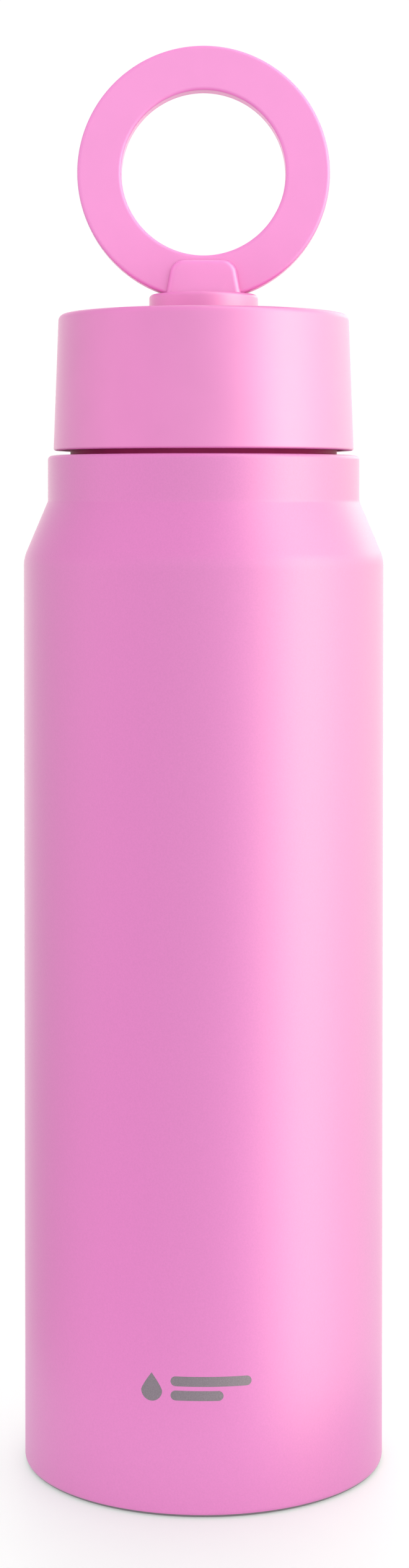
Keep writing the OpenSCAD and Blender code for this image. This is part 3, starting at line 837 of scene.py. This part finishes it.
def plug():
    """The hollow plug under the lid: socket of the grid, lip, spigot, threaded barrel and collar."""
    lip_r = THROAT_R - 0.5
    lip_z = LEDGE_Z - SLACK
    spigot_r = lip_r - 0.7
    root_z = gasket_high.z + SLACK
    root_r = MOUTH_R - THREAD_DEPTH - THREAD_FIT
    floor_z = LEDGE_Z - 1.4
    collar_z = FEMALE_Z + THREAD_LEAD * THREAD_TURNS + THREAD_ROOT_W / 2 + GAP
    wall = 1.9
    cavity_r = root_r - wall
    collar_cavity_r = COLLAR_R - wall - GAP
    plate_r = collar_cavity_r + 0.4
    plate_z = plug_high.z - 3.3
    floor_t = 2
    seat_w = 1.6
    seat_r = lip_r - 1.1 - seat_w
    piece = lathe(
        "threaded_plug",
        [
            (seat_r - seat_w, floor_z, 0),
            (seat_r - seat_w, plug_low.z, 0.2),
            (seat_r, plug_low.z, 0.2),
            (seat_r, floor_z, 0.2),
            (lip_r, floor_z, 0.4),
            (lip_r, lip_z, 0),
            (spigot_r, lip_z, 0),
            (spigot_r, root_z, 0),
            (root_r, root_z, 0.3),
            (root_r, collar_z, 0),
            (COLLAR_R, collar_z, 0.3),
            (COLLAR_R, plug_high.z, 0),
            (plate_r, plug_high.z, 0),
            (plate_r, plate_z, 0),
            (collar_cavity_r, plate_z, 0),
            (collar_cavity_r, collar_z + wall, 0),
            (cavity_r, collar_z, 0),
            (cavity_r, root_z + wall, 0),
            (spigot_r - wall, root_z, 0),
            (spigot_r - wall, floor_z + floor_t, 0),
            (0, floor_z + floor_t, 0),
            (0, floor_z, 0),
        ],
        segments=224,
        steps=6,
        thread=Thread(root_r, root_z, collar_z, MALE_Z, 1),
        longest=6,
    )
    place(piece, "plug", "lid", "plug_plastic", "lid_plug")


def gasket():
    width = 2.5
    inner = gasket_high.x - width
    z0, z1 = gasket_low.z, gasket_high.z
    piece = lathe(
        "seal_ring",
        [
            (inner, z0, 0.2),
            (gasket_high.x, z0, 0.4),
            (gasket_high.x, z1, 0.8),
            (inner, z1, 0.3),
        ],
        segments=192,
        steps=6,
    )
    place(piece, "silicone", "lid_seal", "silicone", "lid_gasket")


# ---------------------------------------------------------------- turret


def turret():
    """The round cover over the swivel, open below, with a slot for the arm and a groove for the ring."""
    washer_t, play = 0.5, 0.2
    cheek = KNUCKLE_W / 2 + washer_t + play
    wall = 1.15
    core_r = TURRET_R - wall
    core_z = FLANGE_Z - 1
    slot_floor = PIN_Z - KNUCKLE_R - GAP
    piece = lathe(
        "turret",
        [
            (0, FLANGE_Z, 0),
            (TURRET_R, FLANGE_Z, 0.2),
            (TURRET_R, TURRET_Z, 0.9),
            (0, TURRET_Z, 0),
        ],
        segments=160,
        steps=8,
    )
    core_path = [(0, core_z, 0), (core_r, core_z, 0), (core_r, PIN_Z, 0), (0, PIN_Z, 0)]
    core = lathe("core", core_path, segments=96)
    slot = box_solid(
        "slot",
        (-cheek, PIN_Y - KNUCKLE_R - GAP, slot_floor),
        (cheek, RING_FRONT + GAP, TURRET_Z + 1),
    )
    groove = rod("groove", RING_R + GAP, RING_FRONT - GAP, TURRET_R + 1, along_y, segments=256)
    cut(piece, core, slot, groove)
    soften(piece, width=0.18, angle_deg=50, segments=2)
    place(piece, "turret", "turret", "lid_plastic", "turret_cover")


# ---------------------------------------------------------------- ring


def ring_shells():
    """The hollow front half of the ring and the flat back half, which meet in a fine line."""
    front, split, back = RING_FRONT, RING_SPLIT, RING_BACK
    line = 0.12
    back_edge_r = RING_EDGE_R - 0.1
    housing = ring_lathe(
        "ring_housing_shell",
        [
            (RING_HOLE_R, front, RING_EDGE_R),
            (RING_R, front, RING_EDGE_R),
            (RING_R, split, line),
            (RING_R - RING_WALL, split, 0),
            (RING_R - RING_WALL, front + RING_WALL, 0),
            (RING_HOLE_R + RING_WALL, front + RING_WALL, 0),
            (RING_HOLE_R + RING_WALL, split, 0),
            (RING_HOLE_R, split, line),
        ],
        steps=10,
        longest=2.5,
    )
    place(housing, "ring", "ring", "ring_plastic", "ring_housing")
    plate = ring_lathe(
        "ring_back_shell",
        [
            (RING_HOLE_R, split, line),
            (RING_R, split, line),
            (RING_R, back, back_edge_r),
            (RING_HOLE_R, back, back_edge_r),
        ],
        steps=8,
        longest=2.5,
    )
    place(plate, "ring", "ring", "ring_plastic", "ring_back_plate")


def tongue():
    """The tongue with its rounded edge, the arm under it and the knuckle on the pin."""
    foot = tongue_high.x
    base_z = TURRET_Z + GAP + SLACK
    foot_z = TURRET_Z + 0.12  # the tongue stops just over the turret
    front = RING_FRONT - TONGUE_T
    height = tongue_high.z - base_z
    lean = 1.3  # how far each side leans in on its way up
    spare = 2.0  # drawn below base_z and cut away at foot_z
    corner_r = 3.2
    outline = rounded(
        [
            (-foot - lean * spare / height, -spare, 0),
            (foot + lean * spare / height, -spare, 0),
            (foot - lean, height, corner_r),
            (lean - foot, height, corner_r),
        ],
        steps=14,
    )
    tab = tongue_tab(outline, front, RING_FRONT + 0.05, base_z)
    below_low, below_high = (-2 * foot, front - 1, base_z - 2 * spare), (2 * foot, RING_FRONT + 1, foot_z)
    cut(tab, box_solid("below", below_low, below_high))
    half = KNUCKLE_W / 2
    back_y, front_y = RING_FRONT - PIN_Y, front + 0.3 - PIN_Y
    root_z = base_z + 0.5 - PIN_Z  # reaches into the tongue
    arm_outline = rounded(
        [
            (0, -KNUCKLE_R * 0.9, 0),
            (back_y, -KNUCKLE_R * 0.3, 0.4),
            (back_y, root_z, 0),
            (front_y, root_z, 0),
            (TURRET_Z + GAP - PIN_Z, KNUCKLE_R, 0.6),
            (0, KNUCKLE_R * 0.9, 0),
        ],
        steps=5,
    )
    arm = extrude("arm", arm_outline, -half, half, along_x, bevel=0.2)
    cut(arm, rod("space", RING_R, RING_FRONT, RING_BACK, along_y, segments=256))
    knuckle = rod("knuckle", KNUCKLE_R, -half, half, along_x)
    piece = join(tab, arm, knuckle)
    cut(piece, rod("bore", PIN_R + 0.05, -half - 1, half + 1, along_x))
    place(piece, "tongue", "ring", "ring_plastic", "tilt_bracket")


def tongue_tab(outline, front, back, base_z):
    """The plate in front of the ring, with a rounded front edge."""
    edge = 1.35
    steps = 8
    rows = [(0.0, back)]
    for k in range(steps + 1):
        a = math.pi / 2 * k / steps
        rows.append((edge * (1 - math.cos(a)), front + edge * (1 - math.sin(a))))
    return loft("tongue", outline, rows, lambda x, up, level: (x, level, base_z + up))


# ---------------------------------------------------------------- pieces that keep their CAD shape

KEPT = {
    "base_plate": "steel",
    "vacuum_seal_bead": "glass",
    "getter": "nickel",
    "getter_clip": "hardware",
    "lid_insulation": "foam",
    "plug_plate": "grid",
    "mixing_grid": "grid",
    "swivel_hub": "lid",
    "swivel_o_ring": "rubber",
    "swivel_wave_washer": "hardware",
    "swivel_retainer": "hardware",
    "swivel_screws": "hardware",
    "hinge_pin": "hardware",
    "friction_washers": "hardware",
    "ring_yoke": "hardware",
    "ring_magnets": "nickel",
    "bracket_screws": "hardware",
}


def dress_kept():
    for node, mat in KEPT.items():
        dress(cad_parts[node], mat)


# ---------------------------------------------------------------- floor, light and camera


def stage_floor():
    """A round white table top, small enough that the low light reaches the bottle from all round."""
    table_r = 100
    rim = [(p.x, p.y, 0) for p in circle(table_r, 96)]
    piece = finish_mesh("floor", rim, [tuple(range(len(rim)))])
    white = (0.58, 0.62, 0.60)
    s = Shader("floor", white, 0.6)
    s.set("Emission Color", (1, 1, 1, 1))
    s.set("Emission Strength", 0.31)
    s.tint(s.noise(40, 3), (0.575, 0.615, 0.595), (0.585, 0.625, 0.605))
    piece.data.materials.append(s.mat)


class World(Graph):
    """Soft studio light from all round: what gloss mirrors and what lights the matt side are set apart.

    A direction's x, y and z run to the right, to the back and up, each from -1 to 1.
    """

    # brightness mirrored in gloss, by the angle round the bottle from its front towards the right
    GLOSS = [
        (-180, 1.8), (-160, 1.75), (-135, 1.2), (-110, 0.9), (-80, 1.5), (-55, 0.8), (-30, 0.2), (-8, 0.1),
        (8, 0.3), (22, 1.0), (36, 2.4), (50, 4.8), (64, 6.9), (80, 5.5), (100, 3.5), (125, 2.6), (150, 1.8),
        (180, 1.8),
    ]
    GLOSS_TOP = 7.0
    LOW = (-0.46, -0.03)  # heights over which the light comes up from the floor
    LOW_LEVEL = 0.5
    HIGH = (0.25, 0.8)  # heights over which it sinks towards the ceiling
    HIGH_LOSS = 0.35
    LEFT_LOSS = 0.3
    BANK = 1.5
    MATT_LEVEL, MATT_RIGHT, MATT_ENDS, MATT_UP = 0.44, 0.08, 1.8, 0.5
    BACKDROP = 1.02
    WARMTH = 0.062

    def __init__(self):
        world = bpy.data.worlds.new("studio")
        bpy.context.scene.world = world
        world.use_nodes = True
        super().__init__(world.node_tree)
        self.x, self.y, self.z = self.axes(self.nodes.new("ShaderNodeTexCoord").outputs["Generated"])

    def ease(self, value, low, high):
        """0 below low, 1 above high and a soft step between; low may be the greater."""
        node = self.nodes.new("ShaderNodeMapRange")
        node.interpolation_type = "SMOOTHSTEP"
        node.inputs["From Min"].default_value = low
        node.inputs["From Max"].default_value = high
        self.links.new(value, node.inputs["Value"])
        return node.outputs["Result"]

    def round_level(self):
        """The light's brightness by the angle round the bottle."""
        angle = self.math("ARCTAN2", self.x, self.math("MULTIPLY", self.y, -1.0))
        turn = self.math("ADD", self.math("DIVIDE", angle, 2 * math.pi), 0.5)
        ramp = self.nodes.new("ShaderNodeValToRGB")
        ramp.color_ramp.interpolation = "B_SPLINE"
        stops = ramp.color_ramp.elements
        while len(stops) > 1:
            stops.remove(stops[-1])
        for i, (deg, level) in enumerate(self.GLOSS):
            at = (deg + 180) / 360
            stop = stops[0] if i == 0 else stops.new(at)
            stop.position = at
            stop.color = (level / self.GLOSS_TOP,) * 3 + (1,)
        self.links.new(turn, ramp.inputs["Fac"])
        return self.math("MULTIPLY", ramp.outputs["Color"], self.GLOSS_TOP)

    def gloss(self):
        # the light fades towards the floor and the ceiling
        rise = self.math("MULTIPLY", self.ease(self.z, *self.LOW), 1 - self.LOW_LEVEL)
        loss = self.math("MULTIPLY", self.ease(self.z, *self.HIGH), self.HIGH_LOSS)
        fade = self.math("SUBTRACT", self.math("ADD", self.LOW_LEVEL, rise), loss)
        # and is dimmer high up on the left
        left = self.math("MULTIPLY", self.ease(self.z, 0.0, 0.3), self.ease(self.x, -0.02, -0.3))
        kept = self.math("SUBTRACT", 1.0, self.math("MULTIPLY", left, self.LEFT_LOSS))
        level = self.math("MULTIPLY", self.round_level(), self.math("MULTIPLY", fade, kept))
        # a bright bank of light high up behind on the right
        high = self.math("MULTIPLY", self.ease(self.z, 0.05, 0.22), self.ease(self.x, 0.20, 0.40))
        high = self.math("MULTIPLY", high, self.ease(self.y, 0.45, 0.75))
        return self.math("ADD", level, self.math("MULTIPLY", high, self.BANK))

    def matt(self):
        """Brighter from the front, the back and above than from the sides and below."""
        level = self.math("ADD", self.MATT_LEVEL, self.math("MULTIPLY", self.x, self.MATT_RIGHT))
        ends = self.math("MULTIPLY", self.math("MULTIPLY", self.y, self.y), self.MATT_ENDS)
        level = self.math("ADD", level, ends)
        return self.math("ADD", level, self.math("MULTIPLY", self.z, self.MATT_UP))

    def build(self):
        path = self.nodes.new("ShaderNodeLightPath")
        seen = self.math("MULTIPLY", path.outputs["Is Camera Ray"], self.BACKDROP)
        gloss = self.math("MULTIPLY", path.outputs["Is Glossy Ray"], self.gloss())
        matt = self.math("MULTIPLY", path.outputs["Is Diffuse Ray"], self.matt())
        total = self.math("ADD", seen, self.math("ADD", gloss, matt))
        # the brightest gloss is a little warmer
        warmth = self.math("MULTIPLY", self.math("MULTIPLY", gloss, gloss), self.WARMTH)
        color = self.nodes.new("ShaderNodeCombineColor")
        self.links.new(total, color.inputs["Red"])
        self.links.new(total, color.inputs["Green"])
        self.links.new(self.math("SUBTRACT", total, warmth), color.inputs["Blue"])
        self.links.new(color.outputs["Color"], self.nodes["Background"].inputs["Color"])


CAMERA_AWAY = 605.73
CAMERA_HEIGHT = 213.74
CAMERA_TILT = 1.455  # degrees below level
LENS = 62.43
SHIFT = (0.00056, -0.13643)


def camera():
    """The product shot's view: nearly level, from about 600 mm in front, at the height of the neck."""
    data = bpy.data.cameras.new("camera")
    obj = bpy.data.objects.new("camera", data)
    bpy.context.scene.collection.objects.link(obj)
    obj.location = (0, -CAMERA_AWAY * MM, CAMERA_HEIGHT * MM)
    obj.rotation_euler = (math.radians(90 - CAMERA_TILT), 0, 0)
    data.sensor_width = 36
    data.lens = LENS
    data.shift_x, data.shift_y = SHIFT
    data.clip_start, data.clip_end = 0.01, 20
    bpy.context.scene.camera = obj


def picture_tone():
    view = bpy.context.scene.view_settings
    view.view_transform = "Standard"
    view.look = "None"
    view.exposure, view.gamma = 0, 1


# ---------------------------------------------------------------- build

camera()
bottle_shell()
liner()
base_disc()
etched_mark()
cap()
plug()
gasket()
turret()
ring_shells()
tongue()
dress_kept()
stage_floor()
World().build()
picture_tone()
